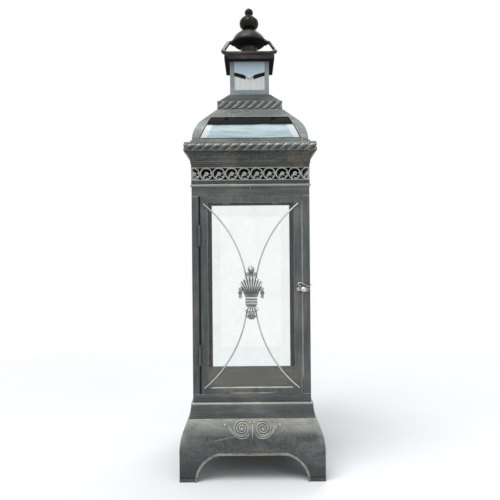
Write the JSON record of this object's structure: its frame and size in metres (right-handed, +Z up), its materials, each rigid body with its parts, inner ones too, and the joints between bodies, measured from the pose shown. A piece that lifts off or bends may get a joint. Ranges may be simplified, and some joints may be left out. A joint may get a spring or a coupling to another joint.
{
  "type": "candle lantern",
  "caption": "Square tower hurricane lantern of antiqued sheet metal and glass: hinged door with cast shell, pierced frieze, domed roof, cupola, finial and swinging bail.",
  "frame": {"origin": "centre of the square footprint on the ground", "axes": "+Z up, the door faces -Y, +X to the right of a viewer who faces the door"},
  "size_m": [0.2168, 0.2168, 0.7414],
  "materials": {
    "antique_pewter": "rubbed antique",
    "grey_enamel": "satin",
    "black_bronze": "satin dark",
    "worn_silver": "worn cast",
    "bare_steel": "plain",
    "clear_glass": "clear"
  },
  "bodies": {
    "lantern": {"base_skirt_back": "antique_pewter", "base_skirt_front": "antique_pewter", "base_skirt_left": "antique_pewter", "base_skirt_right": "antique_pewter", "bead_moulding": "antique_pewter", "bottom_ring": "antique_pewter", "collar": "antique_pewter", "collar_lip": "antique_pewter", "cornice": "antique_pewter", "cornice_rope": "antique_pewter", "cornice_top": "antique_pewter", "cupola_panes": "clear_glass", "cupola_roof_plate": "black_bronze", "cupola_walls": "grey_enamel", "finial": "black_bronze", "finial_stud": "black_bronze", "floor_tray": "antique_pewter", "frieze_back": "antique_pewter", "frieze_front": "antique_pewter", "frieze_left": "antique_pewter", "frieze_lower_band": "antique_pewter", "frieze_right": "antique_pewter", "frieze_upper_band": "antique_pewter", "glass_back": "clear_glass", "glass_clips": "bare_steel", "glass_left": "clear_glass", "glass_right": "clear_glass", "head_ring": "antique_pewter", "hinge_pins": "black_bronze", "keeper_pin": "worn_silver", "lower_hinge_post_leaf": "antique_pewter", "post_back_left": "antique_pewter", "post_back_right": "antique_pewter", "post_front_left": "antique_pewter", "post_front_right": "antique_pewter", "roof_frame": "antique_pewter", "roof_hip": "antique_pewter", "roof_pane_back": "clear_glass", "roof_pane_front": "clear_glass", "roof_pane_left": "clear_glass", "roof_pane_right": "clear_glass", "smoke_cap": "black_bronze", "stud_nut": "black_bronze", "upper_hinge_post_leaf": "antique_pewter", "upper_rope": "antique_pewter"},
    "door": {"door_frame": "antique_pewter", "door_glass": "clear_glass", "door_glass_clips": "bare_steel", "door_wire_left": "worn_silver", "door_wire_right": "worn_silver", "latch_plate": "worn_silver", "latch_rivet": "worn_silver", "lower_hinge_door_leaf": "antique_pewter", "shell_ornament": "worn_silver", "upper_hinge_door_leaf": "antique_pewter"},
    "latch": {"latch_lever": "worn_silver", "latch_knob": "worn_silver"},
    "bail": {"bail": "black_bronze"}
  },
  "joints": [
    {"name": "door_hinge", "type": "hinge", "parent": "lantern", "child": "door", "pos_m": [-0.0772, -0.0908, 0.273], "axis": [0, 0, -1], "range_deg": [0, 110]},
    {"name": "latch_pivot", "type": "hinge", "parent": "door", "child": "latch", "pos_m": [0.0708, -0.0898, 0.281], "axis": [0, -1, 0], "range_deg": [0, 85]},
    {"name": "bail_pivot", "type": "hinge", "parent": "lantern", "child": "bail", "pos_m": [0, 0, 0.6848], "axis": [-1, 0, 0], "range_deg": [0, 250]}
  ]
}
